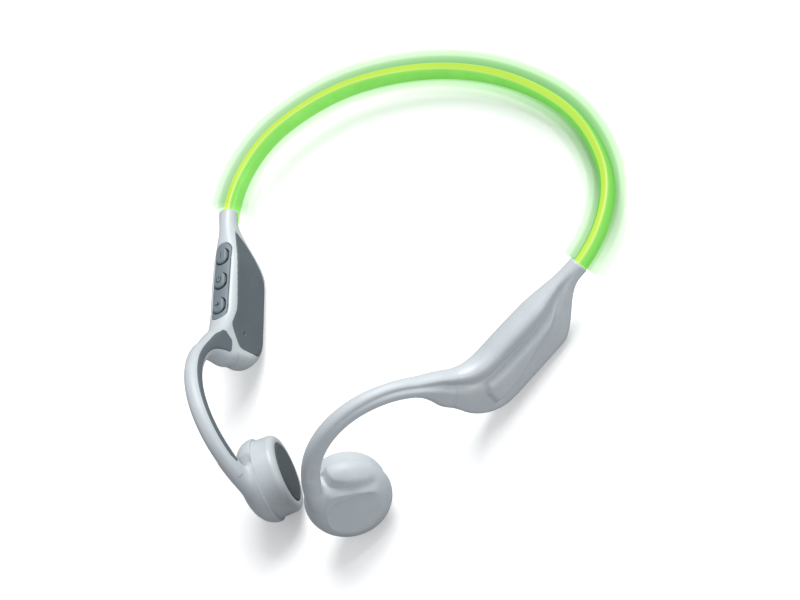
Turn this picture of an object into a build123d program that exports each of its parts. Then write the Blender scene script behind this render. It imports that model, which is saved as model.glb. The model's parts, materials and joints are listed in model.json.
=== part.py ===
from build123d import *
import os
from math import cos, pi, radians, sin, sqrt

# Bone conduction headphones: a glowing neckband, two housings, two ear hooks and two pods.
# All sizes are in millimetres. The model is built as it is worn, with the neckband level in the
# plane z = 0, +X towards the wearer's left ear and +Y towards the back of the neck, and is then
# tilted onto the surface that it lies on. The wearer's left side is built, and mirrored.

# ---- Driving dimensions: neckband ----
# each arc from the nape to the arm: (radius, turn in degrees)
BAND_ARCS = ((107.0, 20.5), (62.0, 27.0), (30.0, 62.0))
BAND_INSERT = 3.0             # length of band held inside each housing neck
GUIDE_WIDTH = 2.6
GUIDE_HEIGHT = 3.2
GUIDE_ROUND = 0.9
SLEEVE_INNER_WALL = 1.1       # silicone between the light guide and the neck
SLEEVE_FLOOR = 1.2            # silicone under the light guide
SLEEVE_ROUND = 0.9
BAND_WIRE_DIAMETER = 0.8
BAND_CABLE_DIAMETER = 0.6
BAND_WIRE_OFFSET = 0.3        # of the wire from the guide's middle, towards the neck
SLEEVE_COVERAGE = 0.75        # share of the guide's height that the sleeve's wall covers

# ---- Driving dimensions: housings ----
ARM_TOE_IN = 27.0             # degrees that each housing converges towards the front
HOUSING_LENGTH = 51.5
HOUSING_TOP = 3.9             # height of the housing's top above the band's plane
HOUSING_DEPTH = 13.6          # depth of the housing's underside below the band's plane
HOUSING_OUTER = 3.6           # reach away from the head
HOUSING_INNER = 5.0           # reach towards the head
HOUSING_WALL = 1.2
HOUSING_ROUND = 2.6
NECK_HEIGHT = 5.2
NECK_WIDTH = 5.2
NECK_LENGTH = 2.5             # straight stretch behind the flare
FLARE_LENGTH = 17.0           # where the housing grows from the neck to full depth
HEEL_LENGTH = 11.5            # where the underside curves up to the ear hook
HEEL_TOP_DROP = 1.3
HEEL_TAPER_OUTER = 4.4        # how far the outer face has come in at the housing's end
HEEL_TAPER_INNER = 2.0
FULL_ROUND = 0.46             # largest corner radius, as a share of a section's smaller side
CAVITY_START = BAND_INSERT + 0.2
CAVITY_END_WALL = 5.5
LOFT_END_GAP = 0.15           # the last housing section stops this far short of the end

# ---- Driving dimensions: inner cover, seal and microphone ----
COVER_THICKNESS = 1.5
COVER_MARGIN = 2.3            # rim of housing left around the cover's lower edge
COVER_TOP = 0.6
COVER_POINT = 4.0             # from the end of the neck to the cover's pointed tip
COVER_POINT_RISE = 0.9
COVER_SIDE_SLOPE = 0.35       # how steeply the edge leaves the tip
COVER_HEEL_ROUND = 5.0
COVER_HEEL_TURN = 78.0        # degrees
COVER_FRONT_REACH = 6.6       # of the slanted front edge, past the start of the heel
COVER_FRONT_LOW = -1.2
COVER_NOTCH_REACH = 0.9
COVER_NOTCH_RISE = 1.5
COVER_STEP = 4.0
SEAL_THICKNESS = 0.4
SEAL_WIDTH = 0.9
MIC_FROM_END = 10.0           # from the housing's front end back to the microphone
MIC_HEIGHT = -3.3
MIC_HOLE = 1.0
MIC_DIAMETER = 4.0
MIC_THICKNESS = 1.2
MESH_DIAMETER = 2.4
MESH_THICKNESS = 0.2
CONTACT_DIAMETER = 1.8
CONTACT_PITCH = 5.0
CONTACT_FORWARD = 27.0
CONTACT_HEIGHT = -5.5

# ---- Driving dimensions: buttons ----
PANEL_LENGTH = 26.5
PANEL_WIDTH = 5.2
PANEL_DEPTH = 2.2             # depth of the panel below the housing's top
BUTTON_PITCH = 8.5
BUTTON_LENGTH = 5.3
BUTTON_WIDTH = 3.8
BUTTON_PROUD = 0.9            # height of each cap above the housing's top
BUTTON_CLEARANCE = 0.2
BUTTON_ROUND = 0.45           # rounding of each cap's upper rim
BUTTON_TRAVEL = 0.3
MIDDLE_BUTTON_FORWARD = 25.4
BUTTON_INWARD = 0.7           # the row of buttons sits this far towards the head
SWITCH_SIZE = (2.8, 0.8, 2.4)
SWITCH_GAP = 0.1              # left between cap and switch at full travel
SWITCH_BOARD_THICKNESS = 0.4
PANEL_FLOOR = 0.6             # panel left under its deepest point

# ---- Driving dimensions: ear hooks ----
HOOK_FROM_END = 10.3          # from the housing's front end back to the hook's upright plane
HOOK_TOE_IN = 12.5            # degrees that the hook turns further in than the housing
HOOK_START = (5.4, 0.3)       # centre of the slanted face where the hook stands on the housing
HOOK_HEADING = 65.0
HOOK_RISE = 5.5               # straight stretch before the arch
HOOK_ARCS = ((27.8, 50.0), (23.5, 61.0), (32.0, 27.0))
HOOK_SIZE = 5.2               # measured across the hook, in its plane
HOOK_THICKNESS = 5.0          # measured towards the head
SHOULDER_SIZE = 13.0          # hook's size where it grows out of the housing
SHOULDER_THICKNESS = 6.6
SHOULDER_SHARE = 0.22         # share of the hook's length over which it narrows
HOOK_WIRE_DIAMETER = 1.0
HOOK_ANCHOR = 3.0             # length of wire and cable that enters the housing
HOOK_CABLE_DIAMETER = 0.7
INLAY_WIDTH = 3.0
INLAY_SHOULDER_WIDTH = 8.4
INLAY_THICKNESS = 0.9

# ---- Driving dimensions: pods ----
POD_FORWARD = 50.3            # pod centre, measured in the hook's plane
POD_DROP = 5.7
POD_INWARD = 1.7
POD_TILT = 14.0               # degrees that the contact pad looks down
POD_RADIUS = 12.2
POD_CAP_DEPTH = 6.6
POD_FLAT_RADIUS = 7.4
BARREL_RADIUS = 11.3
BARREL_DEPTH = 6.2
POD_WALL = 1.3
BARREL_ROUND = 1.6
CAP_FACE_SLOPE = 0.12         # how steeply the dome meets its flat face
PAD_RADIUS = 8.6
PAD_THICKNESS = 1.2
PAD_PROUD = 0.4
PAD_ROUND = 0.35
COIL_RADIUS = 5.6
COIL_WALL = 1.0
COIL_HEIGHT = 2.6
MAGNET_RADIUS = 4.2
MAGNET_HEIGHT = 2.2
YOKE_RADIUS = 7.2
YOKE_WALL = 0.8
YOKE_FLOOR = 0.8
PLATE_THICKNESS = 0.5
EXCITER_GAP = 0.3

# ---- Driving dimensions: electronics ----
BATTERY_SIZE = (24.0, 9.0, 3.6)
BATTERY_ROUND = 0.8
FOAM_THICKNESS = 0.6
FOAM_MARGIN = 1.0
STACK_GAP = 1.0               # air between the foam and the cover's seal
BOARD_SIZE = (24.0, 8.8, 0.8)
BOARD_FORWARD = 30.0
BOARD_HEIGHT = -6.4
CHIP_SIZE = (7.0, 6.0, 1.0)
LED_SIZE = (1.0, 1.9, 1.9)
FERRULE_RADIUS = 0.7
FERRULE_LENGTH = 2.4

# ---- Driving dimensions: how it lies on a surface ----
REST_TILT = 4.2
REST_BACK = 69.157              # moves the middle of its length to the origin
REST_LIFT = 8.544


def ease(t):
    """Smooth step from 0 to 1 with level ends."""
    t = min(1.0, max(0.0, t))
    return t * t * (3 - 2 * t)


def arc_chain(start, heading, arcs, lead=0.0, tail=0.0):
    """A line of tangent arcs that turn clockwise, in the XY plane, with straight ends of lead and tail."""
    direction = Vector(cos(radians(heading)), sin(radians(heading)))
    point = Vector(start)
    edges = []
    if lead:
        edges.append(Line(point, point + direction * lead))
        point = edges[-1] @ 1
    for radius, turn in arcs:
        edges.append(JernArc(point, direction, radius, -turn))
        point = edges[-1] @ 1
        direction = edges[-1] % 1
    if tail:
        edges.append(Line(point, point + direction * tail))
    return Wire([edge for line in edges for edge in line.edges()])


def upright_plane(origin, toe_in):
    """An upright plane with x forward, y up and z towards the head, turned toe_in degrees inwards."""
    s = sin(radians(toe_in))
    c = cos(radians(toe_in))
    return Plane(origin=origin, x_dir=(-s, -c, 0), z_dir=(-c, s, 0))


def both_halves(shape):
    """The shape joined with its mirror image across the middle of the head."""
    return shape + mirror(shape, about=Plane.YZ)


def carve(body, *tools):
    """The body with each tool's room cut out of it, less any loose sliver."""
    for tool in tools:
        body = (body - tool).solids().sort_by(SortBy.VOLUME)[-1]
    return body


def block(size, centre):
    return Pos(*centre) * Box(*size)


def obround(length, width, depth, centre):
    """An upright slot-shaped block, length along x and depth along y, centred on its top face."""
    outline = Plane(origin=centre, x_dir=(1, 0, 0), z_dir=(0, -1, 0)) * SlotOverall(length, width)
    return extrude(outline, amount=depth)


def ring(outer, inner, low, high):
    """A round tube about the z axis."""
    tube = Pos(0, 0, low) * Cylinder(outer, high - low, align=(Align.CENTER, Align.CENTER, Align.MIN))
    if inner:
        bore = Pos(0, 0, low) * Cylinder(inner, high - low, align=(Align.CENTER, Align.CENTER, Align.MIN))
        tube -= bore
    return tube


# ---- Frames ----
BAND_PATH = arc_chain((0, 0), 0.0, BAND_ARCS, tail=BAND_INSERT)
BAND_END = arc_chain((0, 0), 0.0, BAND_ARCS) @ 1
NAPE = Plane(origin=(0, 0, 0), x_dir=(0, 1, 0), z_dir=(1, 0, 0))
ARM = upright_plane(BAND_END, ARM_TOE_IN)
HOOK = upright_plane(ARM.from_local_coords((HOUSING_LENGTH - HOOK_FROM_END, 0, 0)), ARM_TOE_IN + HOOK_TOE_IN)
HOOK_PATH = arc_chain(HOOK_START, HOOK_HEADING, HOOK_ARCS, lead=HOOK_RISE)
HOOK_FOOT = Plane(origin=HOOK_PATH @ 0, x_dir=(0, 0, 1), z_dir=HOOK_PATH % 0)
POD = Pos(POD_FORWARD, -POD_DROP, POD_INWARD) * Rot(X=POD_TILT)
REST = Pos(0, REST_BACK, REST_LIFT) * Rot(X=-REST_TILT)


# ---- Neckband ----
def guide_profile():
    return RectangleRounded(GUIDE_WIDTH, GUIDE_HEIGHT, GUIDE_ROUND)


def band_wire_place():
    return Pos(-BAND_WIRE_OFFSET, -(GUIDE_HEIGHT + SLEEVE_FLOOR) / 2, 0)


def band_cable_place():
    return Pos(-(GUIDE_WIDTH + SLEEVE_INNER_WALL) / 2, -GUIDE_HEIGHT / 4, 0)


def sleeve_profile():
    """Silicone channel that holds the light guide from below and from the neck's side."""
    width = GUIDE_WIDTH + SLEEVE_INNER_WALL
    height = GUIDE_HEIGHT * SLEEVE_COVERAGE + SLEEVE_FLOOR
    low = -GUIDE_HEIGHT / 2 - SLEEVE_FLOOR
    outline = Pos(-SLEEVE_INNER_WALL / 2, low + height / 2) * RectangleRounded(width, height, SLEEVE_ROUND)
    wire = band_wire_place() * Circle(BAND_WIRE_DIAMETER / 2)
    cable = band_cable_place() * Circle(BAND_CABLE_DIAMETER / 2)
    return outline - guide_profile() - wire - cable


def along_band(profile, extra=0.0):
    path = arc_chain((0, 0), 0.0, BAND_ARCS, tail=BAND_INSERT + extra)
    return both_halves(sweep(NAPE * profile, path=path))


def light_guide():
    return along_band(guide_profile())


def neckband_sleeve():
    return along_band(sleeve_profile())


def neckband_wire():
    return along_band(band_wire_place() * Circle(BAND_WIRE_DIAMETER / 2), FERRULE_LENGTH)


def neckband_cable():
    return along_band(band_cable_place() * Circle(BAND_CABLE_DIAMETER / 2), FERRULE_LENGTH)


# ---- Housings, in the arm's frame: x forward, y up, z towards the head ----
def housing_top(forward):
    return NECK_HEIGHT / 2 + (HOUSING_TOP - NECK_HEIGHT / 2) * ease(forward / (2 * FLARE_LENGTH))


def heel_curve(forward):
    """Quarter of an ellipse: 0 along the housing, growing to 1 at its very end."""
    share = max(0.0, (forward - HOUSING_LENGTH + HEEL_LENGTH) / HEEL_LENGTH)
    return 1 - sqrt(1 - min(1.0, share) ** 2)


def housing_bottom(forward):
    grown = ease((forward - NECK_LENGTH) / FLARE_LENGTH)
    low = -NECK_HEIGHT / 2 - (HOUSING_DEPTH - NECK_HEIGHT / 2) * grown
    return low + HOUSING_DEPTH * heel_curve(forward)


def housing_section(forward, inset=0.0):
    """Rounded cross-section of the housing at a distance from the neckband."""
    grown = ease((forward - NECK_LENGTH) / FLARE_LENGTH)
    end = heel_curve(forward)
    top = housing_top(forward) - HEEL_TOP_DROP * end - inset
    low = housing_bottom(forward) + inset
    outer = -NECK_WIDTH / 2 - (HOUSING_OUTER - NECK_WIDTH / 2) * grown + HEEL_TAPER_OUTER * end + inset
    inner = NECK_WIDTH / 2 + (HOUSING_INNER - NECK_WIDTH / 2) * grown - HEEL_TAPER_INNER * end - inset
    height = top - low
    width = inner - outer
    corner = min(HOUSING_ROUND - inset / 2, FULL_ROUND * min(height, width))
    place = Plane(
        origin=(forward, (top + low) / 2, (outer + inner) / 2), x_dir=(0, 1, 0), z_dir=(1, 0, 0)
    )
    return place * RectangleRounded(height, width, corner)


def housing_stations(first, last):
    """Distances along the housing at which its section is given, close together at the flare and heel."""
    flare_end = NECK_LENGTH + FLARE_LENGTH
    heel_start = HOUSING_LENGTH - HEEL_LENGTH
    inner = [NECK_LENGTH + FLARE_LENGTH * k / 5 for k in range(6)]
    inner += [(2 * flare_end + heel_start) / 3, (flare_end + 2 * heel_start) / 3, heel_start]
    inner += [heel_start + HEEL_LENGTH * sin(k * pi / 10) for k in (1, 2, 3, 4)]
    return [first] + [x for x in inner if first + 1 < x < last - 0.5] + [last]


def foot_plane(below=0.0):
    """The slanted face under the ear hook, in the arm's frame, moved down by below."""
    in_world = HOOK.location * HOOK_FOOT.offset(-below).location
    return Plane(ARM.location.inverse() * in_world)


def housing_outside():
    stations = housing_stations(0.0, HOUSING_LENGTH - LOFT_END_GAP)
    whole = loft([housing_section(x) for x in stations])
    return split(whole, bisect_by=foot_plane(), keep=Keep.BOTTOM)


def housing_cavity():
    stations = housing_stations(CAVITY_START, HOUSING_LENGTH - CAVITY_END_WALL)
    whole = loft([housing_section(x, HOUSING_WALL) for x in stations])
    return split(whole, bisect_by=foot_plane(HOUSING_WALL), keep=Keep.BOTTOM)


def cover_outline(inset=0.0):
    """Side outline of the inner cover: a point at the neck, a straight belly and a slanted front edge."""
    low = -HOUSING_DEPTH + COVER_MARGIN + inset
    top = COVER_TOP - inset
    flare_end = NECK_LENGTH + FLARE_LENGTH
    front = HOUSING_LENGTH - HEEL_LENGTH
    point = (NECK_LENGTH + COVER_POINT + 2 * inset, COVER_TOP + COVER_POINT_RISE - inset)
    side = (NECK_LENGTH + FLARE_LENGTH / 2, low / 2)
    belly = Spline(point, side, (flare_end + 1, low), tangents=((COVER_SIDE_SLOPE, -1), (1, 0)))
    underside = Line(belly @ 1, (front + 1, low))
    heel = JernArc(underside @ 1, (1, 0), COVER_HEEL_ROUND - inset, COVER_HEEL_TURN)
    lip = Line(heel @ 1, (front + COVER_FRONT_REACH - inset, COVER_FRONT_LOW))
    notch = Line(lip @ 1, (front + COVER_NOTCH_REACH, top + COVER_NOTCH_RISE))
    step = Line(notch @ 1, (front - COVER_STEP, top))
    shelf = Line(step @ 1, (flare_end, top))
    back = Line(shelf @ 1, point)
    lines = (belly, underside, heel, lip, notch, step, shelf, back)
    return make_face(Wire([edge for line in lines for edge in line.edges()]))


def cover_zone(low, high, inset=0.0):
    return extrude(Pos(0, 0, low) * cover_outline(inset), amount=high - low)


COVER_SEAT = HOUSING_INNER - COVER_THICKNESS
MIC_FORWARD = HOUSING_LENGTH - MIC_FROM_END
SEAL_SEAT = COVER_SEAT - SEAL_THICKNESS


def mic_hole():
    return Pos(MIC_FORWARD, MIC_HEIGHT, 0) * Cylinder(MIC_HOLE / 2, 4 * HOUSING_INNER)


def contact_pins(grow=0.0):
    """Two gold-faced charging pins that pass through the left cover, flush with its face."""
    length = COVER_THICKNESS + 1.0
    pins = Sketch() + [
        Pos(CONTACT_FORWARD + side * CONTACT_PITCH / 2, CONTACT_HEIGHT) * Circle(CONTACT_DIAMETER / 2 + grow)
        for side in (-1, 1)
    ]
    return extrude(Pos(0, 0, HOUSING_INNER - length) * pins, amount=length)


def inner_cover(holes):
    return (housing_outside() & cover_zone(COVER_SEAT, HOUSING_INNER + 1)) - holes


def cover_seal():
    return cover_zone(SEAL_SEAT, COVER_SEAT) - cover_zone(SEAL_SEAT - 1, COVER_SEAT + 1, SEAL_WIDTH)


def panel_zone():
    top = (MIDDLE_BUTTON_FORWARD, HOUSING_TOP + 1.0, BUTTON_INWARD)
    return obround(PANEL_LENGTH, PANEL_WIDTH, PANEL_DEPTH + 1.0, top)


def button_place(number):
    """Number -1 is nearest the neckband, 0 is the middle one and 1 is nearest the ear hook."""
    return MIDDLE_BUTTON_FORWARD + number * BUTTON_PITCH


def button_zone(number, grow, low):
    forward = button_place(number)
    high = housing_top(forward) + BUTTON_PROUD + grow
    centre = (forward, high, BUTTON_INWARD)
    return obround(BUTTON_LENGTH + 2 * grow, BUTTON_WIDTH + 2 * grow, high - low, centre)


def switch_top():
    return HOUSING_TOP - PANEL_DEPTH - PANEL_FLOOR - BUTTON_TRAVEL - SWITCH_GAP


def button(number):
    cap = button_zone(number, 0.0, switch_top() + BUTTON_TRAVEL + SWITCH_GAP)
    rim = cap.faces().sort_by(Axis.Y)[-1].edges()
    return fillet(rim, BUTTON_ROUND)


def button_panel():
    panel = housing_outside() & panel_zone()
    for number in (-1, 0, 1):
        panel -= button_zone(number, BUTTON_CLEARANCE, 0.0)
    return panel


def key_well():
    """Room under the panel for the three caps, their switches and the board below them."""
    length = 2 * BUTTON_PITCH + BUTTON_LENGTH + 2 * BUTTON_CLEARANCE
    top = HOUSING_TOP
    depth = top - switch_top() + SWITCH_SIZE[1] + SWITCH_BOARD_THICKNESS
    centre = (MIDDLE_BUTTON_FORWARD, top, BUTTON_INWARD)
    return obround(length, BUTTON_WIDTH + 2 * BUTTON_CLEARANCE, depth, centre)


def tact_switch(number):
    centre = (button_place(number), switch_top() - SWITCH_SIZE[1] / 2, BUTTON_INWARD)
    return block(SWITCH_SIZE, centre)


def switch_board():
    length = 2 * BUTTON_PITCH + BUTTON_LENGTH
    top = switch_top() - SWITCH_SIZE[1]
    return block(
        (length, SWITCH_BOARD_THICKNESS, BUTTON_WIDTH),
        (MIDDLE_BUTTON_FORWARD, top - SWITCH_BOARD_THICKNESS / 2, BUTTON_INWARD),
    )


def main_board():
    return block(BOARD_SIZE, (BOARD_FORWARD, BOARD_HEIGHT, BUTTON_INWARD))


def radio_chip():
    depth = BUTTON_INWARD - BOARD_SIZE[2] / 2 - CHIP_SIZE[2] / 2
    return block(CHIP_SIZE, (BOARD_FORWARD, BOARD_HEIGHT, depth))


def battery():
    inward = SEAL_SEAT - STACK_GAP - FOAM_THICKNESS - BATTERY_SIZE[2] / 2
    cell = block(BATTERY_SIZE, (BOARD_FORWARD, BOARD_HEIGHT, inward))
    return fillet(cell.edges().filter_by(Axis.X), BATTERY_ROUND)


def battery_foam():
    inward = SEAL_SEAT - STACK_GAP - FOAM_THICKNESS / 2
    length, height, _ = BATTERY_SIZE
    size = (length - 2 * FOAM_MARGIN, height - 2 * FOAM_MARGIN, FOAM_THICKNESS)
    return block(size, (BOARD_FORWARD, BOARD_HEIGHT, inward))


def microphone():
    inward = SEAL_SEAT - MIC_THICKNESS
    return Pos(MIC_FORWARD, MIC_HEIGHT, inward) * ring(MIC_DIAMETER / 2, 0, 0, MIC_THICKNESS)


def mic_mesh():
    disc = ring(MESH_DIAMETER / 2, 0, 0, MESH_THICKNESS)
    return Pos(MIC_FORWARD, MIC_HEIGHT, COVER_SEAT - MESH_THICKNESS) * disc


def band_tip():
    """Where the band ends inside the neck: x along the band, y up and z towards the head."""
    turned = sum(turn for _, turn in BAND_ARCS) - 90
    return upright_plane(BAND_PATH @ 1, turned)


def led():
    return band_tip().location * block(LED_SIZE, (LED_SIZE[0] / 2, 0.1, 0))


def ferrule():
    """Crimped sleeve that anchors the band's spring wire inside the neck."""
    inward = -band_wire_place().position.X
    height = band_wire_place().position.Y
    place = Plane(origin=(0, height, inward), x_dir=(0, 1, 0), z_dir=(1, 0, 0))
    tube = ring(FERRULE_RADIUS, BAND_WIRE_DIAMETER / 2, 0, FERRULE_LENGTH)
    return band_tip().location * (place.location * tube)


# ---- Ear hooks, in the hook's frame: x forward, y up, z towards the head ----
def hook_swell(along):
    """1 at the shoulder, easing to 0 where the hook has its plain size."""
    return 1 - ease(along / SHOULDER_SHARE)


def hook_place(along):
    return Plane(origin=HOOK_PATH @ along, x_dir=(0, 0, 1), z_dir=HOOK_PATH % along)


def hook_profile(along):
    """Rounded section of the hook at a share of its length: x towards the head, y across the hook."""
    swell = hook_swell(along)
    size = HOOK_SIZE + (SHOULDER_SIZE - HOOK_SIZE) * swell
    thickness = HOOK_THICKNESS + (SHOULDER_THICKNESS - HOOK_THICKNESS) * swell
    return RectangleRounded(thickness, size, FULL_ROUND * min(size, thickness))


def inlay_window(along):
    """The part of the hook's section that the dark inlay takes, on the side towards the head."""
    swell = hook_swell(along)
    width = INLAY_WIDTH + (INLAY_SHOULDER_WIDTH - INLAY_WIDTH) * swell
    face = (HOOK_THICKNESS + (SHOULDER_THICKNESS - HOOK_THICKNESS) * swell) / 2
    return Pos(face, 0) * Rectangle(2 * INLAY_THICKNESS, width)


def hook_loft(section):
    shares = [SHOULDER_SHARE * k / 4 for k in range(4)]
    shares += [SHOULDER_SHARE + (1 - SHOULDER_SHARE) * k / 9 for k in range(10)]
    return loft([hook_place(share) * section(share) for share in shares])


def hook_sleeve():
    return hook_loft(lambda along: hook_profile(along) - inlay_window(along))


def hook_inlay():
    return hook_loft(lambda along: hook_profile(along) & inlay_window(along))


def along_hook(profile):
    """A strand inside the hook that also reaches back into the housing."""
    foot = HOOK_FOOT.offset(-HOOK_ANCHOR)
    path = arc_chain(foot.origin, HOOK_HEADING, HOOK_ARCS, lead=HOOK_RISE + HOOK_ANCHOR)
    return sweep(foot * profile, path=path)


def hook_wire():
    return along_hook(Circle(HOOK_WIRE_DIAMETER / 2))


def hook_cable():
    return along_hook(Pos(0, -HOOK_SIZE / 4) * Circle(HOOK_CABLE_DIAMETER / 2))


# ---- Pods, in the pod's frame: z towards the skin ----
def pod_cap_profile(inset=0.0):
    """Half outline of the pod's outer cap, a low dome with a flat face."""
    rim = POD_RADIUS - inset
    flat = -POD_CAP_DEPTH + inset
    side = Line((0, 0), (rim, 0))
    wall = Line((rim, 0), (rim, -POD_CAP_DEPTH / 4))
    dome = Spline(wall @ 1, (POD_FLAT_RADIUS, flat), tangents=((0, -1), (-1, -CAP_FACE_SLOPE)))
    face = Line(dome @ 1, (0, flat))
    axis = Line(face @ 1, (0, 0))
    edges = [*side.edges(), *wall.edges(), *dome.edges(), *face.edges(), *axis.edges()]
    return Plane.XZ * make_face(Wire(edges))


def pod_cap_solid(inset=0.0):
    return revolve(pod_cap_profile(inset), Axis.Z)


def pod_barrel_solid():
    tube = ring(BARREL_RADIUS, 0, 0, BARREL_DEPTH)
    return fillet(tube.faces().sort_by(Axis.Z)[-1].edges(), BARREL_ROUND)


def pod_cap():
    return pod_cap_solid() - pod_cap_solid(POD_WALL)


def pod_barrel():
    room = ring(BARREL_RADIUS - POD_WALL, 0, -1, BARREL_DEPTH - POD_WALL)
    opening = ring(PAD_RADIUS, 0, 0, BARREL_DEPTH + 1)
    return pod_barrel_solid() - room - opening


def contact_pad():
    high = BARREL_DEPTH + PAD_PROUD
    disc = ring(PAD_RADIUS, 0, high - PAD_THICKNESS, high)
    return fillet(disc.faces().sort_by(Axis.Z)[-1].edges(), PAD_ROUND)


PLATE_TOP = BARREL_DEPTH + PAD_PROUD - PAD_THICKNESS
COIL_TOP = PLATE_TOP - PLATE_THICKNESS
YOKE_LOW = COIL_TOP - COIL_HEIGHT - EXCITER_GAP - YOKE_FLOOR


def exciter_plate():
    return ring(PAD_RADIUS, 0, COIL_TOP, PLATE_TOP)


def exciter_coil():
    return ring(COIL_RADIUS, COIL_RADIUS - COIL_WALL, COIL_TOP - COIL_HEIGHT, COIL_TOP)


def exciter_magnet():
    low = YOKE_LOW + YOKE_FLOOR
    return ring(MAGNET_RADIUS, 0, low, low + MAGNET_HEIGHT)


def exciter_yoke():
    high = COIL_TOP - EXCITER_GAP
    cup = ring(YOKE_RADIUS, 0, YOKE_LOW, high)
    return cup - ring(YOKE_RADIUS - YOKE_WALL, 0, YOKE_LOW + YOKE_FLOOR, high)


# ---- Assembly ----
def arm_parts(side):
    """Every piece of one arm on the wearer's left, before it is mirrored for the right side."""
    arm = ARM.location
    hook = HOOK.location
    pod = hook * POD
    outside = arm * housing_outside()
    cavity = arm * housing_cavity()
    recess = arm * cover_zone(SEAL_SEAT, HOUSING_INNER + 1)
    wire = hook * hook_wire()
    cable = hook * hook_cable()
    pod_solid = pod * (pod_cap_solid() + pod_barrel_solid())
    band = (light_guide(), neckband_sleeve(), neckband_wire(), neckband_cable(), ferrule(), led())
    shell = carve(outside, cavity, recess, wire, cable, *band)
    if side == "right":
        shell = carve(shell, arm * panel_zone(), arm * key_well())
    holes = mic_hole() if side == "right" else contact_pins()
    parts = {
        "housing_shell": shell,
        "inner_cover": arm * inner_cover(holes),
        "cover_seal": arm * cover_seal(),
        "band_ferrule": ferrule(),
        "led": led(),
        "earhook": carve(hook * hook_sleeve(), pod_solid, wire, cable),
        "hook_inlay": carve(hook * hook_inlay(), pod_solid),
        "hook_wire": wire,
        "hook_cable": cable,
        "pod_cap": carve(pod * pod_cap(), wire, cable),
        "pod_barrel": pod * pod_barrel(),
        "contact_pad": pod * contact_pad(),
        "exciter_plate": pod * exciter_plate(),
        "exciter_coil": pod * exciter_coil(),
        "exciter_magnet": pod * exciter_magnet(),
        "exciter_yoke": pod * exciter_yoke(),
    }
    return parts


def left_only():
    arm = ARM.location
    return {
        "battery": arm * battery(),
        "battery_foam": arm * battery_foam(),
        "charging_contacts": arm * contact_pins(),
    }


def right_only():
    arm = ARM.location
    names = {-1: "minus", 0: "power", 1: "plus"}
    parts = {
        "button_panel": arm * button_panel(),
        "switch_board": arm * switch_board(),
        "main_board": arm * main_board(),
        "radio_chip": arm * radio_chip(),
        "microphone": arm * microphone(),
        "mic_mesh": arm * mic_mesh(),
    }
    for number, name in names.items():
        parts["button_" + name] = arm * button(number)
        parts["switch_" + name] = arm * tact_switch(number)
    return parts


def all_parts():
    parts = {
        "light_guide": light_guide(),
        "neckband_sleeve": neckband_sleeve(),
        "neckband_wire": neckband_wire(),
        "neckband_cable": neckband_cable(),
    }
    for name, shape in arm_parts("left").items():
        parts[name + "_left"] = shape
    for name, shape in arm_parts("right").items():
        parts[name + "_right"] = mirror(shape, about=Plane.YZ)
    parts.update(left_only())
    for name, shape in right_only().items():
        parts[name] = mirror(shape, about=Plane.YZ)
    return parts


os.makedirs("parts", exist_ok=True)
for name, shape in all_parts().items():
    export_step(REST * shape, "parts/" + name + ".step")
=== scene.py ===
import json
from math import cos, pi, radians, sin, tan

import bpy
import numpy as np
from mathutils import Matrix, Vector


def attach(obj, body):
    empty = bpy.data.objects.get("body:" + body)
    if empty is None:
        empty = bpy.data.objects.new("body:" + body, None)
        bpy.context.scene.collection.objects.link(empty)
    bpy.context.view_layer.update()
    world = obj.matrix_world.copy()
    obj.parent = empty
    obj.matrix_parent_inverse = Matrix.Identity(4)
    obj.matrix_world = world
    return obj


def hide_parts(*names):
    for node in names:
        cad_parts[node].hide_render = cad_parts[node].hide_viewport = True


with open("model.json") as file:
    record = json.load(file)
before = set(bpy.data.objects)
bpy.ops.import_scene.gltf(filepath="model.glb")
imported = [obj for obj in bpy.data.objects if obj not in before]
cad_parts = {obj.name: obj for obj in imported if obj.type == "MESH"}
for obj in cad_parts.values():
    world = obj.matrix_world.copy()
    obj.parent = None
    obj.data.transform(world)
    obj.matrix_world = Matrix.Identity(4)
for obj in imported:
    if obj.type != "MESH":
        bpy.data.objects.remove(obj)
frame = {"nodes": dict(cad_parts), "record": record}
NODES = frame["nodes"]
SLOT_OF = {row["node"]: row["material_slot"] for row in frame["record"]["subparts"]}
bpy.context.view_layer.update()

# ---- Sizes in millimetres, in the frame in which the headphones are worn: the neckband is level, +X is the
# wearer's left and +Y the back of the neck. lay() tilts everything onto the surface and gives metres.
MM = 0.001
REST_TILT = 4.2
REST_BACK = 69.157
REST_LIFT = 8.544

BAND_ARCS = ((107.0, 20.5), (62.0, 27.0), (30.0, 62.0))   # (radius, turn in degrees), nape to arm
BAND_INSERT = 3.0
GUIDE_WIDTH = 2.6
GUIDE_HEIGHT = 3.2

ARM_TOE_IN = 27.0
HOUSING_TOP = 3.9
HOUSING_DEPTH = 13.6
HOUSING_OUTER = 3.6
HOUSING_INNER = 5.0
NECK_SIZE = 5.2
NECK_LENGTH = 2.5
FLARE_LENGTH = 17.0
HEEL_START = 39.5               # where the underside begins to curve up
HEEL_ROUND = 11.6
HEEL_TURN = 78.0
EVEN_LENGTH = 33.0              # stretch of housing whose sections stand upright

HOOK_FORWARD = 41.2
HOOK_TOE_IN = 12.5
HOOK_START = (5.4, 0.3)
HOOK_HEADING = 65.0
HOOK_RISE = 5.5
HOOK_ARCS = ((27.8, 50.0), (23.5, 61.0), (32.0, 27.0))
HOOK_SIZE = 5.2
HOOK_THICKNESS = 5.0
SHOULDER_SIZE = 13.0
SHOULDER_SHARE = 0.22
BLEND_SHARE = 0.10              # share of the hook's length at which its own section takes over
BEND_REACH = 6.0                # the arm's turn towards the head is spread this far either side of the root

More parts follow.
